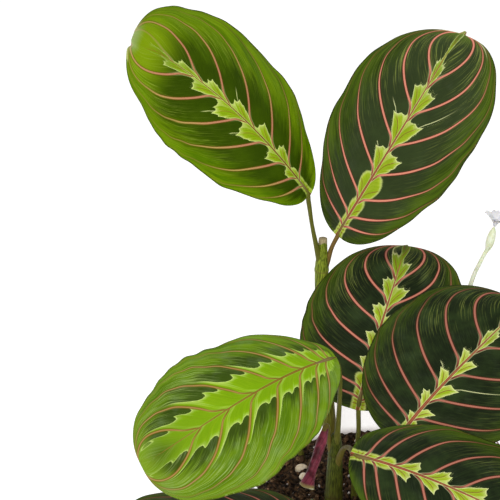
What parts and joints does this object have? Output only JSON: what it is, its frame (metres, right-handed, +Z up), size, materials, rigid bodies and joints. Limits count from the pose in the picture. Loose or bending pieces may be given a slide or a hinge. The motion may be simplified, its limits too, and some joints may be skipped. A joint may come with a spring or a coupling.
{
  "type": "potted prayer plant",
  "caption": "Potted prayer plant (maranta): broad oval leaves with red veins and a lime feather along the midrib, on thin stalks in soil in a plain tapered pot.",
  "frame": {"origin": "centre of the pot's flat underside", "axes": "+Z up, +X to the right and +Y to the back as the picture sees the plant"},
  "size_m": [0.3346, 0.3538, 0.3381],
  "materials": {
    "pot": "satin",
    "soil": "matte",
    "pebble": "matte",
    "stem": "satin",
    "leaf_bright": "satin",
    "leaf_dark": "satin",
    "leaf_young": "satin",
    "bract": "matte",
    "petal": "matte"
  },
  "bodies": {
    "root": {"pot": "pot", "soil": "soil", "pebble_1": "pebble", "pebble_2": "pebble", "pebble_3": "pebble", "pebble_4": "pebble", "pebble_5": "pebble", "stem_tall": "stem", "stem_front": "stem", "stem_right": "stem", "leaf_upper_left": "leaf_bright", "leaf_upper_right": "leaf_dark", "leaf_middle": "leaf_dark", "leaf_right": "leaf_dark", "leaf_lower_left": "leaf_bright", "leaf_front": "leaf_dark", "leaf_low_left": "leaf_dark", "leaf_back_left": "leaf_dark", "leaf_back": "leaf_dark", "leaf_back_upper": "leaf_dark", "leaf_back_right": "leaf_dark", "leaf_top_right": "leaf_bright", "leaf_upper_far_right": "leaf_dark", "leaf_far_right": "leaf_dark", "leaf_low_right": "leaf_dark", "leaf_front_right": "leaf_dark", "leaf_front_left": "leaf_dark", "leaf_front_low": "leaf_dark", "leaf_rolled": "leaf_young", "flower_stalk": "bract", "flower_bloom": "petal"}
  },
  "joints": []
}
